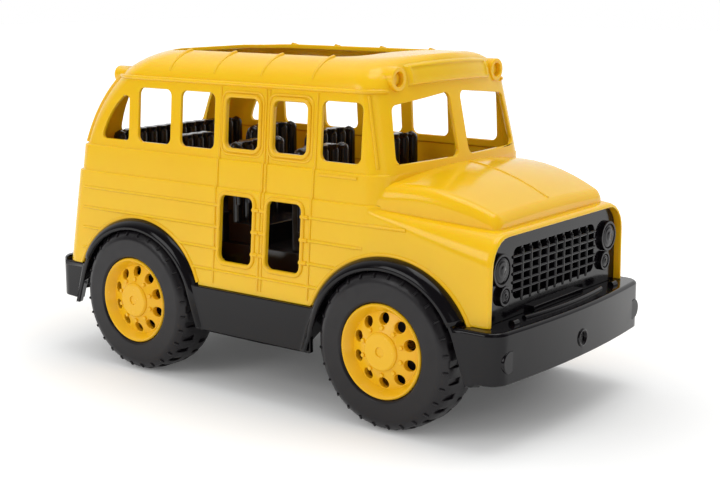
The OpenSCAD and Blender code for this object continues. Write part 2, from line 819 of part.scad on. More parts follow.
// Seat tray: a tub between the axles with raised floors over the wheel housings
tray_wall = 2.4;
tub_w = 122;
tub_end_x = front_x - shell_r - 1.5 * loose - tray_wall / 2;
rear_floor_z = axle_z + shell_r + 2 * tray_wall;
front_floor_z = rear_floor_z + cushion_h;
upper_w = 132;
tray_tail_x = tail_x + 5 * wall;
tray_front_x = cowl_x - 4 * wall;
bench_x = seat_front_x - 3 * seat_pitch;
seat_corner_r = 13;
flute_gap = 0.4;
module tray_floor(x0, x1, w, top_z) {
  translate([x0, -w / 2, top_z - tray_wall]) cube([x1 - x0, w, tray_wall]);
}
module tub_end(x, top_z) {
  translate([x - tray_wall / 2, -tub_w / 2, deck_z]) cube([tray_wall, tub_w, top_z - deck_z]);
}
// One seat back seen from the front, with its top corners rounded
module seat_back(x, y0, w, foot_z, flute_n) {
  pitch = w / flute_n;
  flute_r = pitch / 2 - flute_gap / 2;
  intersection() {
    union() {
      translate([x - seat_back_t, y0, foot_z]) cube([seat_back_t - flute_r / 2, w, seat_top_z - foot_z]);
      for (i = [0 : flute_n - 1])
        translate([x - flute_r, y0 + pitch * (i + 1 / 2), foot_z])
          cylinder(r = flute_r, h = seat_top_z - foot_z);
    }
    along_x(x - 2 * seat_back_t, x + seat_back_t)
      polygon(rounded(box_outline(y0, foot_z - seat_corner_r, y0 + w, seat_top_z), seat_corner_r));
  }
}
module seat(x, y0, w, foot_z, flute_n) {
  seat_back(x, y0, w, foot_z, flute_n);
  translate([x - seat_back_t / 2, y0, foot_z]) cube([cushion_l + seat_back_t / 2, w, cushion_h]);
}
module seat_tray() {
  color("#201d20")
  difference() {
    union() {
      tray_floor(-tub_end_x, tub_end_x, tub_w, floor_z);
      tray_floor(tray_tail_x, -tub_end_x, upper_w, rear_floor_z);
      tray_floor(tub_end_x, tray_front_x, upper_w, front_floor_z);
      tub_end(-tub_end_x, rear_floor_z);
      tub_end(tub_end_x, front_floor_z);
      both_sides()
        translate([-tub_end_x, tub_w / 2 - tray_wall, deck_z])
          cube([2 * tub_end_x, tray_wall, floor_z - deck_z]);
      for (p = tray_posts) post(p[0], p[1], deck_z, floor_z - deck_z - tray_wall / 2);
      for (row = [0, 1, 2])
        both_sides()
          seat(seat_front_x - row * seat_pitch, aisle_w / 2, seat_w,
            (row == 2 ? rear_floor_z : floor_z) - tray_wall / 2, flutes);
      seat(bench_x, -seat_w - aisle_w / 2, 2 * seat_w + aisle_w, rear_floor_z - tray_wall / 2, 2 * flutes + 3);
    }
    for (p = tray_posts) pilot(p[0], p[1], deck_z);
  }
}

// Grille: a panel in the mouth of the nose with a field of bars and two lamps a side
grille_gap = 0.4;
lamp_y = 58;
lamp_z = 91.5;
small_lamp_y = 54.6;
small_lamp_z = 77.5;
lamp_out = 2.4;
lamp_ring_t = 1.6;
plate_w = 54;
plate_h = 3;
plate_out = 5;
function mouth_outline(gap) =
  let (
    s = wing_share(grille_x),
    w = lerp(base_w / 2 - wing_margin, nose_w / 2, s) - wall - gap,
    top = wing_top(grille_x) - wall - gap,
    lean_w = w - wall_lean * lerp(1, nose_lean_share, s) * (top - deck_z)
  )
  [[-w, shelf_z], [w, shelf_z], [lean_w, top], [-lean_w, top]];
module lamp(y, z, d) {
  translate([grille_x - grille_t / 2, y, z])
    rotate([0, 90, 0])
      difference() {
        cylinder(d = d, h = grille_t / 2 + lamp_out);
        translate([0, 0, grille_t / 2 + lamp_out / 2])
          cylinder(d = d - 2 * lamp_ring_t, h = lamp_out);
      }
}
module grille_outline() {
  mouth = mouth_outline(grille_gap);
  arcs = rounded(mouth, nose_corner_r - wall);
  polygon(concat([mouth[0], mouth[1]], [for (i = [2 * (corner_n + 1) : len(arcs) - 1]) arcs[i]]));
}
module grille() {
  bars_z = shelf_z + bars_up;
  color("#211e22")
  difference() {
    union() {
      difference() {
        along_x(grille_x - grille_t, grille_x) grille_outline();
        along_x(grille_x - 2 * grille_t, grille_x + overrun)
          polygon(rounded(box_outline(-bars_w / 2, bars_z, bars_w / 2, bars_z + bars_h), window_r));
      }
      for (i = [1 : bars_up_count])
        translate([grille_x - grille_t, bars_w * (i / (bars_up_count + 1) - 1 / 2) - bar_t / 2, bars_z - bar_t])
          cube([grille_t, bar_t, bars_h + 2 * bar_t]);
      for (i = [1 : bars_level_count])
        translate([grille_x - grille_t, -bars_w / 2 - bar_t, bars_z + bars_h * i / (bars_level_count + 1) - bar_t / 2])
          cube([grille_t / 2, bars_w + 2 * bar_t, bar_t]);
      both_sides() {
        lamp(lamp_y, lamp_z, lamp_d);
        lamp(small_lamp_y, small_lamp_z, small_lamp_d);
      }
      translate([grille_x - grille_t / 2, -plate_w / 2, shelf_z])
        cube([plate_out, plate_w, plate_h]);
      for (p = grille_posts) {
        post(p[0], p[1], shelf_z, body_post_h);
        translate([p[0], p[1] - post_web_t / 2, shelf_z])
          cube([grille_x - grille_t / 2 - p[0], post_web_t, bars_up - bar_t]);
      }
    }
    for (p = grille_posts) pilot(p[0], p[1], shelf_z);
  }
}

// Screws: pan heads under the deck, plain shanks up into the posts
screw_head_h = 2;
module screw(x, y, seat_z) {
  translate([x, y, seat_z - screw_head_h]) cylinder(d = screw_head_d, h = screw_head_h);
  translate([x, y, seat_z - screw_head_h / 2])
    cylinder(d = screw_d, h = screw_l + screw_head_h / 2 - overrun);
}
module body_screws() {
  color("silver") for (p = body_posts) screw(p[0], p[1], deck_z - chassis_wall);
}
module tray_screws() {
  color("silver") for (p = tray_posts) screw(p[0], p[1], deck_z - chassis_wall);
}
module grille_screws() {
  color("silver") for (p = grille_posts) screw(p[0], p[1], shelf_z - chassis_wall);
}

// Wheels: profiles run from the lip plane at zero inwards
hub_depth = 5;
rim_wall = 2.5;
hub_back_r = axle_d / 2 + rim_wall;
axle_end = hub_depth + rim_wall;
axle_half = track_w / 2 - axle_end;
module axle(x) {
  color("silver")
    translate([x, -axle_half, axle_z]) rotate([-90, 0, 0]) cylinder(d = axle_d, h = 2 * axle_half);
}
module front_axle() { axle(front_x); }
module rear_axle() { axle(rear_x); }

module at_wheel(x, side) {
  translate([x, side * track_w / 2, axle_z]) rotate([-90 * side, 0, 0]) children();
}
side_r_share = 0.83;
shoulder_l = 9;
shoulder_steps = 4;
bead_in = 1.4;
// The tyre's inner face is closed by a web with a hole for the rim's hub
web_t = 3;
tread_r = tyre_d / 2;
rim_r = rim_d / 2;
side_r = tread_r * side_r_share;
lug_l = 12;
lug_share = 0.35;
function shoulder(i) =
  let (a = 90 * i / shoulder_steps)
  [side_r + (tread_r - side_r) * sin(a), shoulder_l * (1 - cos(a))];
tyre_outline = concat(
  [[hub_back_r + loose, -tyre_w]],
  [for (i = [0 : shoulder_steps]) shoulder(i) - [0, tyre_w]],
  [for (i = [shoulder_steps : -1 : 0]) [shoulder(i)[0], -shoulder(i)[1]]],
  [
    [rim_r + bead_in, 0],
    [rim_r + snug, -bead_in],
    [rim_r + snug, web_t - tyre_w],
    [hub_back_r + loose, web_t - tyre_w]
  ]
);
module tyre() {
  lug_w = PI * tyre_d / lug_count * lug_share;
  color("#2b282c")
  difference() {
    rotate_extrude() polygon(tyre_outline);
    for (i = [0 : lug_count - 1])
      rotate(360 * i / lug_count) {
        translate([tread_r - lug_depth, -lug_w / 2, -lug_l]) cube([2 * lug_depth, lug_w, lug_l + overrun]);
        rotate(180 / lug_count)
          translate([tread_r - lug_depth, -lug_w / 2, -tyre_w - overrun])
            cube([2 * lug_depth, lug_w, lug_l + overrun]);
      }
  }
}
hub_r = hub_d / 2;
hub_step = 1.8;
dimple_r = 2.6;
dimple_depth = 0.8;
barrel_short = 6;
barrel_l = tyre_w - barrel_short;
lug_bump_d = 2.4;
lug_bump_h = 1.2;
lip_round = 1;
// The dish narrows from the lip to a cone that carries the holes and rises to the hub
disc_r = rim_r - 2 * rim_wall;
rim_outline = [
  [0, -dimple_depth],
  [dimple_r, -dimple_depth],
  [dimple_r, 0],
  [hub_r - lip_round, 0],
  [hub_r, -lip_round],
  [hub_r, -hub_step],
  [disc_r, -dish_depth],
  [rim_r - 2 * lip_round, -lip_round],
  [rim_r - lip_round, 0],
  [rim_r, -lip_round],
  [rim_r, -barrel_l],
  [rim_r - rim_wall, -barrel_l],
  [rim_r - rim_wall, -dish_depth - 2 * rim_wall],
  [disc_r - rim_wall, -dish_depth - rim_wall],
  [hub_back_r, -hub_step - rim_wall],
  [hub_back_r, -tyre_w],
  [0, -tyre_w]
];
hole_margin = 0.4;
hole_ring_r = disc_r - hole_margin - rim_hole_d / 2;
bump_ring_r = hub_r + lug_bump_d;
bump_foot = lerp(hub_step, dish_depth, (bump_ring_r - hub_r) / (disc_r - hub_r));
module rim() {
  color("gold")
  difference() {
    union() {
      rotate_extrude() polygon(rim_outline);
      for (i = [0 : rim_holes - 1])
        rotate(360 * (i + 1 / 2) / rim_holes)
          translate([bump_ring_r, 0, -bump_foot - rim_wall / 2])
            cylinder(d = lug_bump_d, h = rim_wall / 2 + lug_bump_h);
    }
    for (i = [0 : rim_holes - 1])
      rotate(360 * (i + 1 / 2) / rim_holes)
        translate([hole_ring_r, 0, -dish_depth - 2 * rim_wall]) cylinder(d = rim_hole_d, h = 4 * rim_wall);
    translate([0, 0, -tyre_w - overrun]) cylinder(d = axle_d, h = tyre_w - axle_end + overrun);
  }
}
module tyre_front_right() { at_wheel(front_x, -1) tyre(); }
module tyre_front_left() { at_wheel(front_x, 1) tyre(); }
module tyre_rear_right() { at_wheel(rear_x, -1) tyre(); }
module tyre_rear_left() { at_wheel(rear_x, 1) tyre(); }
module rim_front_right() { at_wheel(front_x, -1) rim(); }
module rim_front_left() { at_wheel(front_x, 1) rim(); }
module rim_rear_right() { at_wheel(rear_x, -1) rim(); }
module rim_rear_left() { at_wheel(rear_x, 1) rim(); }

body_shell();
chassis();
seat_tray();
grille();
front_axle();
rear_axle();
tyre_front_right();
tyre_front_left();
tyre_rear_right();
tyre_rear_left();
rim_front_right();
rim_front_left();
rim_rear_right();
rim_rear_left();
body_screws();
tray_screws();
grille_screws();
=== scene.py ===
"""Toy bus: the solids as softened mouldings with raised beads, lenses and a sign panel, in their plastics."""
import math

import bmesh
import bpy
from mathutils import Matrix, Vector


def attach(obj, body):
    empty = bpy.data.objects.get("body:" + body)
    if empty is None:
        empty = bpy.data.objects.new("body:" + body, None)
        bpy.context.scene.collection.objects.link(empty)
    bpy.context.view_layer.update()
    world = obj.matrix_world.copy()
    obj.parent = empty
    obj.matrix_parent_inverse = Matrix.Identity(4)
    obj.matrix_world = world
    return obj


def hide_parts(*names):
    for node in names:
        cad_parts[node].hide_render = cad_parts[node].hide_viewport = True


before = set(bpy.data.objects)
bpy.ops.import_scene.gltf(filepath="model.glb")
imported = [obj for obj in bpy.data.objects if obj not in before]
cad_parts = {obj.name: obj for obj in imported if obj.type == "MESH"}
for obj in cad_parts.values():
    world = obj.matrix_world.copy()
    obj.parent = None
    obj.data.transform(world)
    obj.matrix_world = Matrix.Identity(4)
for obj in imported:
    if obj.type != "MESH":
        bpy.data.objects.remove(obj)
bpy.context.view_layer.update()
scene = bpy.context.scene
scene.view_settings.view_transform = "Standard"
MM = 0.001

# Camera: the photograph's place and angle
CAMERA_AT = (0.49246, -0.61944, 0.23706)
CAMERA_AZIMUTH, CAMERA_DROP = math.radians(37.493), math.radians(11.243)
SENSOR_MM, FOCAL_MM = 36, 66.08
lens = bpy.data.cameras.new("photo_camera")
lens.sensor_width = SENSOR_MM
lens.lens = FOCAL_MM
camera = bpy.data.objects.new("photo_camera", lens)
scene.collection.objects.link(camera)
forward = Vector((
    -math.sin(CAMERA_AZIMUTH) * math.cos(CAMERA_DROP),
    math.cos(CAMERA_AZIMUTH) * math.cos(CAMERA_DROP),
    -math.sin(CAMERA_DROP),
))
aim = forward.to_track_quat("-Z", "Y").to_matrix().to_4x4()
camera.matrix_world = Matrix.Translation(CAMERA_AT) @ aim
scene.camera = camera


# Materials
def linear(colour):
    """sRGB hex to the linear colour that sockets take."""
    parts = [int(colour[i:i + 2], 16) / 255 for i in (1, 3, 5)]
    return [p / 12.92 if p <= 0.04045 else ((p + 0.055) / 1.055) ** 2.4 for p in parts] + [1]


def add(tree, kind, sockets=None, **settings):
    """A node with its settings, its socket values and the links into it."""
    made = tree.nodes.new(kind)
    for name, value in settings.items():
        setattr(made, name, value)
    for socket, value in (sockets or {}).items():
        if isinstance(value, bpy.types.NodeSocket):
            tree.links.new(value, made.inputs[socket])
        else:
            made.inputs[socket].default_value = value
    return made


def higher(tree, one, other):
    """Socket with the larger of two values."""
    return add(tree, "ShaderNodeMath", {0: one, 1: other}, operation="MAXIMUM").outputs[0]


def fresh(name):
    made = bpy.data.materials.new(name)
    made.use_nodes = True
    made.node_tree.nodes.clear()
    return made, made.node_tree


def grain_scale(size_mm):
    """Noise scale at which one grain is this many millimetres across."""
    return 1 / (size_mm * MM)


CLOUD_MM, RUB_MM = 38, 5
RUB_FROM, RUB_TO = 0.35, 0.7
GRAIN_STRENGTH = 0.35
GLOW_RADIUS, GLOW_MM = (1.0, 0.4, 0.04), 6


def moulded_plastic(name, colour, deep_colour, roughness, rub, grain_mm, depth_mm, ior=1.49, glow=0.0):
    """Moulded plastic: one colour with faint flow clouds, a fine mould grain and small rubbed spots."""
    made, tree = fresh(name)
    place = add(tree, "ShaderNodeTexCoord").outputs["Object"]
    clouds = add(tree, "ShaderNodeTexNoise", {"Vector": place, "Scale": grain_scale(CLOUD_MM), "Detail": 3.0})
    tone = add(tree, "ShaderNodeMix", {
        0: clouds.outputs[0], 6: linear(colour), 7: linear(deep_colour),
    }, data_type="RGBA")
    rubs = add(tree, "ShaderNodeTexNoise", {"Vector": place, "Scale": grain_scale(RUB_MM), "Detail": 5.0})
    gloss = add(tree, "ShaderNodeMapRange", {
        "Value": rubs.outputs[0], "From Min": RUB_FROM, "From Max": RUB_TO,
        "To Min": roughness - rub, "To Max": roughness + rub,
    })
    grain = add(tree, "ShaderNodeTexNoise", {"Vector": place, "Scale": grain_scale(grain_mm), "Detail": 2.0})
    relief = add(tree, "ShaderNodeBump", {
        "Height": grain.outputs[0], "Strength": GRAIN_STRENGTH, "Distance": depth_mm * MM,
    })
    surface = add(tree, "ShaderNodeBsdfPrincipled", {
        "Base Color": tone.outputs[2], "Roughness": gloss.outputs["Result"], "IOR": ior,
        "Normal": relief.outputs["Normal"], "Subsurface Weight": glow,
        "Subsurface Radius": GLOW_RADIUS, "Subsurface Scale": GLOW_MM * MM,
    })
    add(tree, "ShaderNodeOutputMaterial", {"Surface": surface.outputs["BSDF"]})
    return made


DULLER, LINE_STRENGTH, LINE_DEPTH_MM = (-0.1, 0.15), 0.3, 0.03


def drawn_steel(name, colour, roughness, line_mm, stretch):
    """Steel: fine lines along a drawn rod, or the fine bloom of plating at a stretch of 1."""
    made, tree = fresh(name)
    place = add(tree, "ShaderNodeTexCoord").outputs["Object"]
    along = add(tree, "ShaderNodeMapping", {"Vector": place, "Scale": (1, 1 / stretch, 1)})
    lines = add(tree, "ShaderNodeTexNoise", {
        "Vector": along.outputs[0], "Scale": grain_scale(line_mm), "Detail": 4.0,
    })
    gloss = add(tree, "ShaderNodeMapRange", {
        "Value": lines.outputs[0], "To Min": roughness + DULLER[0], "To Max": roughness + DULLER[1],
    })
    relief = add(tree, "ShaderNodeBump", {
        "Height": lines.outputs[0], "Strength": LINE_STRENGTH, "Distance": LINE_DEPTH_MM * MM,
    })
    surface = add(tree, "ShaderNodeBsdfPrincipled", {
        "Base Color": linear(colour), "Metallic": 1.0, "Roughness": gloss.outputs["Result"],
        "Normal": relief.outputs["Normal"],
    })
    add(tree, "ShaderNodeOutputMaterial", {"Surface": surface.outputs["BSDF"]})
    return made


# Polypropylene from a polished mould; the grain is drawn coarser than the real one so that it shows
yellow = moulded_plastic(
    "yellow_polypropylene", "#F6C41C", "#F0B915",
    roughness=0.17, rub=0.03, grain_mm=1.6, depth_mm=0.004, ior=1.4, glow=0.25,
)
bead_yellow = moulded_plastic(
    "yellow_bead_polypropylene", "#F1BE1C", "#EBB416",
    roughness=0.2, rub=0.03, grain_mm=1.6, depth_mm=0.004, ior=1.42,
)
rim_yellow = moulded_plastic(
    "yellow_rim_polypropylene", "#F5C01C", "#ECB114",
    roughness=0.24, rub=0.04, grain_mm=1.4, depth_mm=0.006, ior=1.42,
)
black = moulded_plastic(
    "black_polypropylene", "#0A080B", "#0F0D10",
    roughness=0.13, rub=0.03, grain_mm=1.4, depth_mm=0.004, ior=1.33,
)
seat_black = moulded_plastic(
    "black_seat_polypropylene", "#0E0C0D", "#171415",
    roughness=0.2, rub=0.04, grain_mm=1.2, depth_mm=0.008,
)
# Soft vinyl tyres: dark with a dull gloss from a fine texture
tyre_black = moulded_plastic(
    "black_soft_vinyl", "#110E11", "#191619",
    roughness=0.34, rub=0.06, grain_mm=0.9, depth_mm=0.02, ior=1.4,
)
axle_steel = drawn_steel("drawn_axle_steel", "#B9BABD", roughness=0.3, line_mm=0.25, stretch=40)
screw_zinc = drawn_steel("zinc_plated_steel", "#B2B3B8", roughness=0.36, line_mm=0.5, stretch=1)


# Making pieces
def piece(name, bm, finish, body="bus", stands_for=()):
    mesh = bpy.data.meshes.new(name)
    bm.to_mesh(mesh)
    bm.free()
    mesh.materials.append(finish)
    made = bpy.data.objects.new(name, mesh)
    scene.collection.objects.link(made)
    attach(made, body)
    if stands_for:
        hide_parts(*stands_for)
    return made


def smooth(bm):
    for face in bm.faces:
        face.smooth = True


def even_normals(made):
    """Shades by the larger faces, so that flats stay flat beside rounded edges."""
    made.modifiers.new("even_normals", "WEIGHTED_NORMAL").keep_sharp = True


MERGE_MM, FINE_MERGE_MM = 0.01, 0.001
FLAT, BENT = math.radians(0.05), math.radians(0.5)
CRISP, SHARP = math.radians(38), math.radians(48)


def round_edges(bm, edges, radius, segments):
    bmesh.ops.bevel(
        bm, geom=edges, offset=radius * MM, offset_type="OFFSET", affect="EDGES", segments=segments,
        profile=0.5, material=-1, clamp_overlap=False,
    )


def crisp_edges(bm):
    return [e for e in bm.edges if e.is_manifold and e.is_convex and e.calc_face_angle() > CRISP]


def softened(node, radius, finish, body="bus", shape=None, wide=()):
    """A solid's own shape with rounded edges; wide holds (radius, test) pairs for the rounder ones."""
    bm = bmesh.new()
    bm.from_mesh(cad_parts[node].data)
    bmesh.ops.remove_doubles(bm, verts=bm.verts[:], dist=MERGE_MM * MM)
    bmesh.ops.dissolve_limit(bm, angle_limit=FLAT, verts=bm.verts[:], edges=bm.edges[:])
    if shape:
        shape(bm)
    bmesh.ops.connect_verts_nonplanar(bm, angle_limit=BENT, faces=bm.faces[:])
    for wide_radius, is_wide in wide:
        edges = [e for e in crisp_edges(bm) if all(is_wide(v.co / MM) for v in e.verts)]
        round_edges(bm, edges, wide_radius, segments=4)
    round_edges(bm, crisp_edges(bm), radius, segments=3)
    smooth(bm)
    for edge in bm.edges:
        edge.smooth = not (edge.is_manifold and edge.calc_face_angle() > SHARP)
    even_normals(piece("moulded_" + node, bm, finish, body, [node]))


def beads(name, paths, radius, finish, body="bus"):
    """Round moulded beads along paths in millimetres; a path that ends where it starts is closed."""
    line = bpy.data.curves.new(name, "CURVE")
    line.dimensions = "3D"
    line.bevel_depth = radius * MM
    line.bevel_resolution = 3
    line.use_fill_caps = True
    for path in paths:
        closed = path[0] == path[-1]
        points = path[:-1] if closed else path
        spline = line.splines.new("POLY")
        spline.use_cyclic_u = closed
        spline.points.add(len(points) - 1)
        for point, at in zip(spline.points, points):
            point.co = (at[0] * MM, at[1] * MM, at[2] * MM, 1)
    holder = bpy.data.objects.new(name, line)
    scene.collection.objects.link(holder)
    swept = bpy.data.meshes.new_from_object(holder.evaluated_get(bpy.context.evaluated_depsgraph_get()))
    bpy.data.objects.remove(holder)
    bpy.data.curves.remove(line)
    bm = bmesh.new()
    bm.from_mesh(swept)
    bpy.data.meshes.remove(swept)
    smooth(bm)
    piece(name, bm, finish, body)


def turned(bm, profile, centre, steps):
    """Spins a profile of (radius, X) points about the X axis through a centre (Y, Z), in millimetres."""
    points = [bm.verts.new((x * MM, (centre[0] + r) * MM, centre[1] * MM)) for r, x in profile]
    edges = [bm.edges.new(pair) for pair in zip(points, points[1:])]
    bmesh.ops.spin(
        bm, geom=points + edges, cent=(0, centre[0] * MM, centre[1] * MM), axis=(1, 0, 0),
        angle=2 * math.pi, steps=steps, use_merge=True,
    )


def turned_piece(name, profiles, finish, steps=40):
    bm = bmesh.new()
    for profile, centre in profiles:
        turned(bm, profile, centre, steps)
    bmesh.ops.remove_doubles(bm, verts=bm.verts[:], dist=FINE_MERGE_MM * MM)
    bmesh.ops.recalc_face_normals(bm, faces=bm.faces[:])
    smooth(bm)
    even_normals(piece(name, bm, finish))


# The body's surfaces, in millimetres
DECK, BELT_LOW, BELT_TOP, RAIL, ROOF = 60, 118.6, 134.6, 178, 192.7
BELT_STEP = 1.2
FOOT_HALF, RAIL_HALF = 75.6, 66.5
SHOULDER_IN, CROWN, VISOR_ROUND, ROOF_CORNER = 20, 3, 5, 26
TAIL_MID_X, TAIL_MID_Z, TAIL_L, TAIL_H = -92, 125.6, 58.33, 67.1
TAIL_CORNER, TAIL_ROOF_CORNER = 10, 24
COWL_X, COWL_Z, SCREEN_RAKE, SCREEN_BOW, PILLAR_R = 92, 136.4, math.radians(12), 4, 13
WING_REAR, NOSE_X, WING_HALF, NOSE_HALF = 73, 154.5, 77.7, 73
WALL_LEAN, NOSE_LEAN = 0.0771, 0.027
AXLE_X, AXLE_Z, ARCH_R, ARCH_RISE = 93.5, 44, 53.7, 0.935
WINDOW_FRONT, WINDOW_PITCH = 57, 35.6
DOOR_X = [WINDOW_FRONT - WINDOW_PITCH * i for i in (1, 2)]
DOOR_REAR, DOOR_FRONT = -31, 40.2
SIDES = (-1, 1)


def mix(a, b, share):
    return a + (b - a) * share


def spread(start, end, steps):
    """Even places from start to end, with both."""
    return [mix(start, end, i / steps) for i in range(steps + 1)]


def side_y(z):
    proud = 2 * BELT_STEP if z <= BELT_LOW else BELT_STEP if z <= BELT_TOP else 0
    return mix(FOOT_HALF, RAIL_HALF, (z - DECK) / (RAIL - DECK)) + proud


def flank_y(x, z):
    """Half width of the cabin wall, or of the wing before it."""
    if x < WING_REAR:
        return side_y(z)
    share = (x - WING_REAR) / (NOSE_X - WING_REAR)
    return mix(WING_HALF, NOSE_HALF, share) - mix(WALL_LEAN, NOSE_LEAN, share) * (z - DECK)


def tail_x(z):
    return TAIL_MID_X - TAIL_L * math.sqrt(1 - ((z - TAIL_MID_Z) / TAIL_H) ** 2)


def tail_corner(z):
    share = min(1, max(0, (z - BELT_TOP) / (RAIL - BELT_TOP)))
    return mix(TAIL_CORNER, TAIL_ROOF_CORNER, share)


def front_x(z):
    return COWL_X - math.tan(SCREEN_RAKE) * (min(RAIL, max(COWL_Z, z)) - COWL_Z)


def shoulder_z(y, share):
    """Height of the roof's shoulder, from the drip rail at share 0 to the roof's flat at share 1."""
    rise = (ROOF - RAIL) * math.sin(math.pi / 2 * share)
    return RAIL + rise + CROWN * share * (1 - (y / RAIL_HALF) ** 2)


def roof_point(x, share, side, sunk):
    """Point under the roof's shoulder at a share of its rise."""
    a = math.pi / 2 * share
    y = RAIL_HALF - SHOULDER_IN * (1 - math.cos(a))
    return (x, side * (y - sunk * math.cos(a)), shoulder_z(y, share) - sunk * math.sin(a))


def visor_point(y, z):
    """Point on the roof's front face, over the windscreen; the share of the rise is found by halving."""
    low, high = 0.0, 1.0
    for _ in range(24):
        share = (low + high) / 2
        low, high = (share, high) if shoulder_z(y, share) < z else (low, share)
    turn = 1 - math.cos(math.pi / 2 * share)
    flat = RAIL_HALF - SHOULDER_IN * turn - mix(PILLAR_R, ROOF_CORNER, share)
    return (front_x(z) - VISOR_ROUND * turn - SCREEN_BOW * min(1, abs(y) / flat) ** 2, y, z)


def pillar_point(angle, z, side):
    """Point on the rounded front pillar; angle 0 faces forward, 90 sideways."""
    a = math.radians(angle)
    return (
        front_x(z) - SCREEN_BOW - PILLAR_R + PILLAR_R * math.cos(a),
        side * (side_y(z) - PILLAR_R + PILLAR_R * math.sin(a)), z,
    )


def tail_corner_point(angle, z, side):
    """Point on the tail's rounded upright corner; angle 0 faces sideways, 90 backward."""
    a, r = math.radians(angle), tail_corner(z)
    return (tail_x(z) + r - r * math.sin(a), side * (side_y(z) - r + r * math.cos(a)), z)


def round_frame(x0, z0, x1, z1, r, steps=5):
    """Outline of a rounded rectangle, closed."""
    corners = ((x1 - r, z0 + r, -90), (x1 - r, z1 - r, 0), (x0 + r, z1 - r, 90), (x0 + r, z0 + r, 180))
    points = []
    for cx, cz, start in corners:
        for i in range(steps + 1):
            a = math.radians(start + 90 * i / steps)
            points.append((cx + r * math.cos(a), cz + r * math.sin(a)))
    return points + points[:1]


# Mouldings of the solids themselves
GUARD_RIM_Y, GUARD_LEAN = 80.5, 3.6
FRONT_BUMPER_X, FRONT_BUMPER_TOP = 130, 64
TAIL_BUMPER_X, TAIL_BUMPER_TOP = -150, 62
LEVEL_WITH = 0.1


def lean_mudguards(bm):
    """Draws the mudguards' outer rims in towards their wheels, so that they roll over the tyres."""
    for vert in bm.verts:
        if on_guard_rim(vert.co / MM):
            hub = Vector((math.copysign(AXLE_X, vert.co.x) * MM, vert.co.y, AXLE_Z * MM))
            vert.co -= (vert.co - hub).normalized() * GUARD_LEAN * MM


def on_guard_rim(at):
    return abs(at.y) > GUARD_RIM_Y


def on_bumper_top(at):
    in_front = at.x > FRONT_BUMPER_X and abs(at.z - FRONT_BUMPER_TOP) < LEVEL_WITH
    return in_front or at.x < TAIL_BUMPER_X and abs(at.z - TAIL_BUMPER_TOP) < LEVEL_WITH


softened("body_shell", 0.55, yellow)
softened(
    "chassis", 0.6, black, shape=lean_mudguards, wide=((2.2, on_bumper_top), (1.1, on_guard_rim)),
)
softened("seat_tray", 0.7, seat_black)
softened("grille", 0.4, black)
for end in ("front", "rear"):
    for hand in ("right", "left"):
        softened(f"tyre_{end}_{hand}", 0.5, tyre_black, end + "_wheelset")
        softened(f"rim_{end}_{hand}", 0.4, rim_yellow, end + "_wheelset")
for node, finish in (
    ("front_axle", axle_steel), ("rear_axle", axle_steel),
    ("body_screws", screw_zinc), ("tray_screws", screw_zinc), ("grille_screws", screw_zinc),
):
    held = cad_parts[node].data.materials
    held.clear()
    held.append(finish)

# Round flutes over the backs of the three rows of double seats and of the rear bench
SEAT_ROWS, SEAT_MID, SEAT_W, FLUTES = (16.5, -33, -82.5), 35, 46, 5
BENCH_X, BENCH_W, BENCH_FLUTES = -132, 116, 13
FLUTE_R, FLUTE_HALF, FLUTE_FOOT, FLUTE_TOP = 3.5, 0.9, 106, 138.6


def hairpin(x, y):
    """Path up a seat back's front, over its top and down behind."""
    over = [math.radians(45 * i) for i in range(5)]
    top = [(x - FLUTE_HALF * math.cos(a), y, FLUTE_TOP + FLUTE_HALF * math.sin(a)) for a in over]
    return [(x - FLUTE_HALF, y, FLUTE_FOOT)] + top + [(x + FLUTE_HALF, y, FLUTE_FOOT)]


def fluted(x, middle, width, count):
    """Flutes side by side over the width of one seat back."""
    return [hairpin(x, middle + width * ((i + 0.5) / count - 0.5)) for i in range(count)]


flutes = []
for x in SEAT_ROWS:
    for side in SIDES:
        flutes += fluted(x, side * SEAT_MID, SEAT_W, FLUTES)
flutes += fluted(BENCH_X, 0, BENCH_W, BENCH_FLUTES)
beads("seat_flutes", flutes, FLUTE_R, seat_black)

# Double door on the right: raised frames round its four windows and two leaves, seams, ends of its ribs
GLASS_HALF, GLASS_LEVELS = 12.4, ((141.4, 170.2), (76.5, 115))
FRAME_OUT, FRAME_CORNER, FRAME_R = 1.1, 5, 1.3
LEAF_HALF, LEAF_LOW, LEAF_HIGH, LEAF_SUNK, LEAF_R = 15.7, 138, 173.6, 0.3, 0.9
SEAM_LEVELS = (63, 90, 118.4, 119.4, 127, 134.4, 135.4, 155, 176)
SEAM_X, SEAM_R = (DOOR_REAR, 3.4, 5.8, DOOR_FRONT), 0.7
RIB_LEVELS = (108.5, 95.9, 83.3, 70.7)
RIB_END_FROM, RIB_END_TO, RIB_END_R = 12.2, 17.4, 1.25
frame_half = GLASS_HALF + FRAME_OUT
window_frames, leaf_frames = [], []
for x in DOOR_X:
    for low, high in GLASS_LEVELS:
        outline = round_frame(x - frame_half, low - FRAME_OUT, x + frame_half, high + FRAME_OUT, FRAME_CORNER)
        window_frames.append([(u, -side_y(w), w) for u, w in outline])
    outline = round_frame(x - LEAF_HALF, LEAF_LOW, x + LEAF_HALF, LEAF_HIGH, FRAME_CORNER)
    leaf_frames.append([(u, LEAF_SUNK - side_y(w), w) for u, w in outline])
beads("door_window_frames", window_frames, FRAME_R, bead_yellow)
beads("door_leaf_frames", leaf_frames, LEAF_R, bead_yellow)
seams = [[(x, -side_y(z), z) for z in SEAM_LEVELS] for x in SEAM_X]
beads("door_seams", seams, SEAM_R, bead_yellow)
rib_ends = [
    [(x + edge * RIB_END_FROM, -side_y(z), z), (x + edge * RIB_END_TO, -side_y(z), z)]
    for x in DOOR_X for edge in SIDES for z in RIB_LEVELS[:3]
]
beads("door_rib_ends", rib_ends, RIB_END_R, bead_yellow)

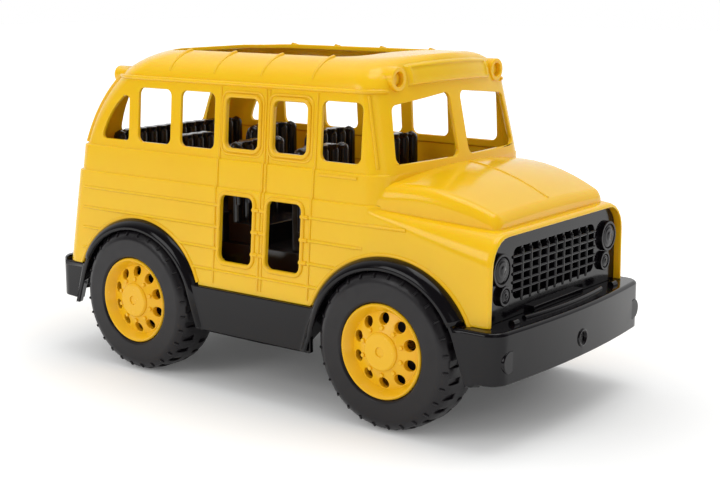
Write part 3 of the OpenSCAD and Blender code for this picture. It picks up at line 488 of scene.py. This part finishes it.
# Level ribs of the lower walls, broken by the double door and the wheel arches
RIB_FORE, RIB_TAIL, TAIL_RIB_FORE = (103, 76, 57.6, 45.5), -139, -129.4
SILL_RIB_REAR, SILL_RIB_FORE, SILL_RIB_Z = 44, 70, 132.4
RIB_SUNK, RIB_R = 0.45, 1.15
ARCH_TOP = AXLE_Z + ARCH_R * ARCH_RISE


def wall_line(x0, x1, z, side):
    """Path along a wall, sunk in so that the bead on it stands out by part of its radius."""
    return [(x, side * (flank_y(x, z) - RIB_SUNK), z) for x in spread(x0, x1, 10)]


ribs = []
for side in SIDES:
    for z, fore in zip(RIB_LEVELS, RIB_FORE):
        aft = RIB_TAIL if z > ARCH_TOP else -fore
        runs = ((aft, DOOR_REAR), (DOOR_FRONT, fore)) if side < 0 else ((aft, fore),)
        ribs += [wall_line(x0, x1, z, side) for x0, x1 in runs]
    ribs.append(wall_line(RIB_TAIL, TAIL_RIB_FORE, RIB_LEVELS[2], side))
    ribs.append(wall_line(SILL_RIB_REAR, SILL_RIB_FORE, SILL_RIB_Z, side))
beads("wall_ribs", ribs, RIB_R, bead_yellow)

# Lips of the wheel arches
LIP_FROM, LIP_SUNK, LIP_R = 20.5, 0.4, 1.4
lips = []
for side in SIDES:
    for axle_x in (-AXLE_X, AXLE_X):
        lip = []
        for angle in spread(LIP_FROM, 180 - LIP_FROM, 48):
            a = math.radians(angle)
            x, z = axle_x + ARCH_R * math.cos(a), AXLE_Z + ARCH_R * ARCH_RISE * math.sin(a)
            lip.append((x, side * (flank_y(x, z) - LIP_SUNK), z))
        lips.append(lip)
beads("arch_lips", lips, LIP_R, bead_yellow)

# Rolled flares of the mudguards: from the arches to lips beside the tyres, with legs down to the skirts
FLARE_ROOT_Y = 74
FLARE_LIP = [(46.3, 81.7), (46.1, 81.2), (46.4, 80.6)]
FLARE_START, FLARE_SWEEP = math.radians(27), math.radians(135)
LEG_OUT, LEG_DROP = 7.4, 22.4


def rolled(radius, fall, out):
    """Profile points (radius, Y) of a quarter roll that falls towards the axle as it comes out."""
    turns = [math.radians(15 * i) for i in range(7)]
    return [(radius - fall * (1 - math.cos(t)), FLARE_ROOT_Y + out * math.sin(t)) for t in turns]


flare = rolled(53.3, 6.3, 8) + FLARE_LIP + rolled(51.6, 4.6, 6.2)[::-1]
for end, ahead in (("front", 1), ("rear", -1)):
    for hand, side in (("right", -1), ("left", 1)):
        hub = Vector((ahead * AXLE_X, 0, AXLE_Z)) * MM
        along, up = ahead * math.cos(FLARE_START), math.sin(FLARE_START)
        bm = bmesh.new()
        ring = [bm.verts.new(hub + Vector((r * along, side * y, r * up)) * MM) for r, y in flare]
        hoops = [bm.edges.new(pair) for pair in zip(ring, ring[1:] + ring[:1])]
        spun = bmesh.ops.spin(
            bm, geom=ring + hoops, cent=hub, axis=(0, -ahead, 0), angle=FLARE_SWEEP, steps=45,
            use_merge=False,
        )
        bmesh.ops.scale(bm, vec=(1, 1, ARCH_RISE), space=Matrix.Translation(-hub), verts=bm.verts[:])
        last = [e for e in spun["geom_last"] if isinstance(e, bmesh.types.BMEdge)]
        leg = bmesh.ops.extrude_edge_only(bm, edges=last)["geom"]
        bmesh.ops.translate(
            bm, vec=Vector((-ahead * LEG_OUT, 0, -LEG_DROP)) * MM,
            verts=[v for v in leg if isinstance(v, bmesh.types.BMVert)],
        )
        bmesh.ops.holes_fill(bm, edges=[e for e in bm.edges if e.is_boundary], sides=0)
        bmesh.ops.recalc_face_normals(bm, faces=bm.faces[:])
        for face in bm.faces:
            face.smooth = len(face.verts) == 4
        piece(f"mudguard_flare_{end}_{hand}", bm, black)

# Lugs on the tyres' outer shoulders
LUGS, LUG_R, LUG_RISE, LUG_IN, TYRE_FACE = 28, 36.5, 7.5, 9, 83
LUG_ANGLES, LUG_BEAD_R = [math.radians(26 + 7 * k) for k in range(4)], 0.75
for end, axle_x in (("front", AXLE_X), ("rear", -AXLE_X)):
    lugs = []
    for side in SIDES:
        for i in range(LUGS):
            turn = 2 * math.pi * (i + 0.5) / LUGS
            lug = []
            for a in LUG_ANGLES:
                r, y = LUG_R + LUG_RISE * math.sin(a), TYRE_FACE - LUG_IN * (1 - math.cos(a))
                lug.append((axle_x + r * math.cos(turn), side * y, AXLE_Z + r * math.sin(turn)))
            lugs.append(lug)
    beads("shoulder_lugs_" + end, lugs, LUG_BEAD_R, tyre_black, end + "_wheelset")

# Drip rail carried round the front pillars and down the tail's corners
RAIL_R, TAIL_RAIL_ANGLE, TAIL_RAIL_FOOT = 1.3, 45, 136
rails = []
for side in SIDES:
    rails.append([pillar_point(angle, RAIL, side) for angle in spread(96, 12, 10)])
    corner = [tail_corner_point(angle, RAIL, side) for angle in spread(-6, TAIL_RAIL_ANGLE, 6)]
    fall = spread(RAIL, TAIL_RAIL_FOOT, 14)[1:]
    rails.append(corner + [tail_corner_point(TAIL_RAIL_ANGLE, z, side) for z in fall])
beads("drip_rail_ends", rails, RAIL_R, bead_yellow)

# Ribs that rise over the roof's shoulders to the edge of its opening
ROOF_RIB_X, ROOF_RIB_R = (-74, -38, -2, 35), 1.2
rib_rise = list(zip(spread(0.22, 1, 12), spread(0.9, 0.1, 12)))
roof_ribs = [
    [roof_point(x, share, side, sunk) for share, sunk in rib_rise] for x in ROOF_RIB_X for side in SIDES
]
beads("roof_ribs", roof_ribs, ROOF_RIB_R, bead_yellow)

# Ridges of the front pillars and the crease of the bonnet
RIDGE_ANGLE, RIDGE_FOOT, RIDGE_TOP, RIDGE_R = 60, 138, 176, 0.9
ridges = [
    [pillar_point(RIDGE_ANGLE, z, side) for z in spread(RIDGE_FOOT, RIDGE_TOP, 10)] for side in SIDES
]
beads("pillar_ridges", ridges, RIDGE_R, bead_yellow)
BONNET_FRONT_X, BONNET_FRONT_Z, BONNET_BULGE = 148.8, 118.6, 3.6
CREASE_SUNK, CREASE_R = 0.35, 0.9
crease = []
for share in spread(0.03, 0.93, 12):
    bulge = 4 * BONNET_BULGE * share * (1 - share)
    z = mix(COWL_Z, BONNET_FRONT_Z, share) + bulge - CREASE_SUNK
    crease.append((mix(COWL_X, BONNET_FRONT_X, share), 0, z))
beads("bonnet_crease", [crease], CREASE_R, bead_yellow)

# Sign panel over the windscreen: a raised border round a field that lies lower;
# the border's lines are (distance inward, height), and it is narrower above and below than at the ends
SIGN_HALF, SIGN_LOW, SIGN_HIGH, SIGN_DEEP = 40.5, 179.6, 191.2, 1.3
LOW_ARCH, HIGH_ARCH = 1.0, 1.6
BORDER = ((0, -0.4), (1.6, 1.3), (4.0, 1.3), (4.8, 0.6))
NARROWER = 2.2
SIGN_W, SIGN_H = 2 * SIGN_HALF, SIGN_HIGH - SIGN_LOW


def sign_lines(length, narrowing, steps):
    """Places across the panel: the border's lines at both ends and even ones between."""
    ends = [d / narrowing for d, _ in BORDER]
    field = spread(ends[-1], length - ends[-1], steps)
    return ends[:-1] + field + [length - d for d in reversed(ends[:-1])]


def sign_height(inward):
    for (d0, h0), (d1, h1) in zip(BORDER, BORDER[1:]):
        if inward <= d1:
            return mix(h0, h1, (inward - d0) / (d1 - d0))
    return BORDER[-1][1]


across, upward = sign_lines(SIGN_W, 1, 14), sign_lines(SIGN_H, NARROWER, 4)
bm = bmesh.new()
face_rows, back_rows = [], []
for u in across:
    y = u - SIGN_HALF
    arch = 1 - (y / SIGN_HALF) ** 2
    face_rows.append([])
    back_rows.append([])
    for w in upward:
        z = mix(SIGN_LOW + LOW_ARCH * arch, SIGN_HIGH + HIGH_ARCH * arch, w / SIGN_H)
        at = Vector(visor_point(y, z))
        inward = min(u, SIGN_W - u, NARROWER * w, NARROWER * (SIGN_H - w))
        face_rows[-1].append(bm.verts.new((at + Vector((sign_height(inward), 0, 0))) * MM))
        back_rows[-1].append(bm.verts.new((at - Vector((SIGN_DEEP, 0, 0))) * MM))
for rows in (face_rows, back_rows):
    for one, two in zip(rows, rows[1:]):
        for j in range(len(upward) - 1):
            bm.faces.new((one[j], two[j], two[j + 1], one[j + 1]))
bmesh.ops.bridge_loops(bm, edges=[e for e in bm.edges if e.is_boundary])
bmesh.ops.recalc_face_normals(bm, faces=bm.faces[:])
smooth(bm)
even_normals(piece("sign_panel", bm, yellow))

# Frame of the rear window
REAR_GLASS, REAR_CORNER, REAR_FRAME_R = (-40, 138.6, 40, 169), 5, 1.0
rear_frame = [(tail_x(z), y, z) for y, z in round_frame(*REAR_GLASS, REAR_CORNER)]
beads("rear_window_frame", [rear_frame], REAR_FRAME_R, bead_yellow)

# Round bars over the grille's grid, the upright ones bent back at their tops
GRILLE_X, GRID_FOOT, GRID_TOP, GRID_W = 150.5, 73.5, 100.5, 88
BARS_UP, BAR_UP_R, BEND_R, BEND_DROP = 9, 1.0, 2.6, 3
FOOT_BACK, FOOT_DROP, LEVEL_BACK = 0.5, 1.5, 0.2
BARS_LEVEL, BAR_LEVEL_R, LEVEL_HALF = 5, 0.95, 45
bars = []
for i in range(1, BARS_UP + 1):
    y = GRID_W * (i / (BARS_UP + 1) - 0.5)
    bend_z = GRID_TOP - BEND_DROP
    bar = [
        (GRILLE_X - FOOT_BACK, y, GRID_FOOT - FOOT_DROP), (GRILLE_X - LEVEL_BACK, y, GRID_FOOT),
        (GRILLE_X, y, bend_z),
    ]
    for k in range(1, 6):
        a = math.radians(18 * k)
        bar.append((GRILLE_X - BEND_R * (1 - math.cos(a)), y, bend_z + BEND_R * math.sin(a)))
    bars.append(bar)
beads("grille_bars", bars, BAR_UP_R, black)
level_x = GRILLE_X - LEVEL_BACK
level_bars = [
    [(level_x, -LEVEL_HALF, z), (level_x, LEVEL_HALF, z)]
    for z in spread(GRID_FOOT, GRID_TOP, BARS_LEVEL + 1)[1:-1]
]
beads("grille_level_bars", level_bars, BAR_LEVEL_R, black)

# Curved strip and two pins on the shelf before the grille
STRIP_X, STRIP_BOW, STRIP_HALF, STRIP_Z, STRIP_R = 156.5, 3, 42, 64.2, 1.5
PIN_X, PIN_FROM, PIN_TO, PIN_Z, PIN_R = 158, 57, 52, 64.4, 2.0
strip = [
    (STRIP_X + STRIP_BOW * (1 - (y / STRIP_HALF) ** 2), y, STRIP_Z) for y in spread(-STRIP_HALF, STRIP_HALF, 20)
]
beads("shelf_strip", [strip], STRIP_R, black)
pins = [[(PIN_X, side * PIN_FROM, PIN_Z), (PIN_X, side * PIN_TO, PIN_Z)] for side in SIDES]
beads("shelf_pins", pins, PIN_R, black)

# Closed back behind the grille's openings
BACKING_T, BACKING_OVER, BACKING_IN, BACKING_EDGE = 1, 3, 4, 0.3
backing_size = (BACKING_T, GRID_W + BACKING_OVER, GRID_TOP - GRID_FOOT + BACKING_OVER)
backing_at = Vector((GRILLE_X - BACKING_IN, 0, (GRID_FOOT + GRID_TOP) / 2)) * MM
bm = bmesh.new()
bmesh.ops.create_cube(bm, size=MM)
bmesh.ops.scale(bm, vec=backing_size, verts=bm.verts[:])
bmesh.ops.translate(bm, vec=backing_at, verts=bm.verts[:])
round_edges(bm, bm.edges[:], BACKING_EDGE, segments=2)
piece("grille_backing", bm, black)

# Ribbed lenses in the four lamp cups; the steps are (share of the radius, height)
LAMPS, LENS_BACK = ((58, 91.5, 6.9), (54.6, 77.5, 3.7)), 151.5
LENS_STEPS = ((1, 0.3), (0.93, 1.1), (0.8, 0.8), (0.66, 1.5), (0.5, 1.2), (0.32, 1.7), (0, 1.9))
lenses = []
for side in SIDES:
    for y, z, r in LAMPS:
        profile = [(0, LENS_BACK), (r, LENS_BACK)] + [(r * a, LENS_BACK + b) for a, b in LENS_STEPS]
        lenses.append((profile, (side * y, z)))
turned_piece("lamp_lenses", lenses, black)

# Lenses in the four marker lamps on the roof: X of the back, height, way it faces
MARKERS, MARKER_Y, MARKER_R = ((77.2, 184, 1), (-130.5, 177.5, -1)), 49, 3.95
MARKER_STEPS = ((1, 0.9), (0.85, 1.4), (0.5, 1.7), (0, 1.8))
markers = []
for side in SIDES:
    for x, z, out in MARKERS:
        profile = [(0, x), (MARKER_R, x)] + [(MARKER_R * a, x + out * b) for a, b in MARKER_STEPS]
        markers.append((profile, (side * MARKER_Y, z)))
turned_piece("marker_lenses", markers, bead_yellow)

# Lip of the tow hole
TOW_X, TOW_Z, TOW_R, TOW_LIP = 168.3, 46.6, 4.3, 0.9
round_lip = [math.radians(30 * i) for i in range(13)]
tow_lip = [(TOW_R + TOW_LIP * math.cos(a), TOW_X + TOW_LIP * math.sin(a)) for a in round_lip]
turned_piece("tow_hole_lip", [(tow_lip, (0, TOW_Z))], black)

# Studio floor: pale and matt, whiter away from the bus to the camera, in gloss and through glass; its glow is
# held low round the bus, which is painted shade added to the bus's real cast shadow
FLOOR_HALF, FLOOR_DROP_MM, DUST_MM = 5, 0.05, 3
OVAL = (0.5, 1, 1)
NEAR, FAR, PAINTED_SHADE_GLOW, FAR_GLOW = 0.06, 0.3, 0.04, 0.56
MATT_FROM, MATT_TO = 0.85, 0.95
floor_finish, tree = fresh("matt_studio_floor")
rays = add(tree, "ShaderNodeLightPath").outputs
place = add(tree, "ShaderNodeTexCoord").outputs["Object"]
oval = add(tree, "ShaderNodeMapping", {"Vector": place, "Scale": OVAL})
away = add(tree, "ShaderNodeVectorMath", {0: oval.outputs[0]}, operation="LENGTH")
# Painted shade: the glow drops towards the bus, so the floor round it is darker than its lamps make it
painted_shade_fade = add(tree, "ShaderNodeMapRange", {
    "Value": away.outputs["Value"], "From Min": NEAR, "From Max": FAR, "To Min": PAINTED_SHADE_GLOW, "To Max": FAR_GLOW,
})
seen = higher(tree, rays["Is Camera Ray"], higher(tree, rays["Is Glossy Ray"], rays["Is Transmission Ray"]))
glow = add(tree, "ShaderNodeMath", {0: seen, 1: painted_shade_fade.outputs["Result"]}, operation="MULTIPLY")
dust = add(tree, "ShaderNodeTexNoise", {"Vector": place, "Scale": grain_scale(DUST_MM), "Detail": 3.0})
matt = add(tree, "ShaderNodeMapRange", {"Value": dust.outputs[0], "To Min": MATT_FROM, "To Max": MATT_TO})
paper = add(tree, "ShaderNodeBsdfPrincipled", {
    "Base Color": linear("#F1F1F0"), "Roughness": matt.outputs["Result"], "Specular IOR Level": 0.1,
    "Emission Color": (1, 1, 1, 1), "Emission Strength": glow.outputs[0],
})
add(tree, "ShaderNodeOutputMaterial", {"Surface": paper.outputs["BSDF"]})
bm = bmesh.new()
bmesh.ops.create_grid(bm, x_segments=1, y_segments=1, size=FLOOR_HALF)
bmesh.ops.translate(bm, verts=bm.verts[:], vec=(0, 0, -FLOOR_DROP_MM * MM))
mesh = bpy.data.meshes.new("floor")
bm.to_mesh(mesh)
bm.free()
mesh.materials.append(floor_finish)
floor = bpy.data.objects.new("floor", mesh)
scene.collection.objects.link(floor)

# Surround: white to the camera and through glass; in gloss the backdrop is white and the room before it dim
BACKDROP_WAY, BACKDROP_EDGE = (-0.61, 0.79, 0.2), 0.6
ROOM_LIGHT, DIM_GLOSS = 0.76, 0.1
surround = bpy.data.worlds.new("white_surround")
surround.use_nodes = True
scene.world = surround
tree = surround.node_tree
tree.nodes.clear()
rays = add(tree, "ShaderNodeLightPath").outputs
white = higher(tree, rays["Is Camera Ray"], rays["Is Transmission Ray"])
towards = add(tree, "ShaderNodeVectorMath", {
    0: add(tree, "ShaderNodeTexCoord").outputs["Generated"], 1: BACKDROP_WAY,
}, operation="DOT_PRODUCT")
mirrored = add(tree, "ShaderNodeMapRange", {
    "Value": towards.outputs["Value"], "From Min": 0.0, "From Max": BACKDROP_EDGE,
    "To Min": DIM_GLOSS, "To Max": 1.0,
})
grey = add(tree, "ShaderNodeMapRange", {
    "Value": rays["Is Glossy Ray"], "To Min": ROOM_LIGHT, "To Max": mirrored.outputs["Result"],
})
level = higher(tree, white, grey.outputs["Result"])
sky = add(tree, "ShaderNodeBackground", {"Color": (1, 1, 1, 1), "Strength": level})
add(tree, "ShaderNodeOutputWorld", {"Surface": sky.outputs["Background"]})

# Soft boxes, aimed at the middle of the bus
AIM_AT = Vector((0, 0, 0.1))


def softbox(name, at, size, watts):
    lamp = bpy.data.lights.new(name, "AREA")
    lamp.size = size
    lamp.energy = watts
    box = bpy.data.objects.new(name, lamp)
    box.location = at
    box.rotation_euler = (AIM_AT - Vector(at)).to_track_quat("-Z", "Y").to_euler()
    scene.collection.objects.link(box)


softbox("key_box", at=(-0.4, -1.1, 0.65), size=0.6, watts=3.2)
softbox("fill_box", at=(0.95, -0.7, 0.5), size=0.5, watts=0.3)
softbox("top_box", at=(0.2, 0.1, 1.2), size=0.7, watts=3.9)
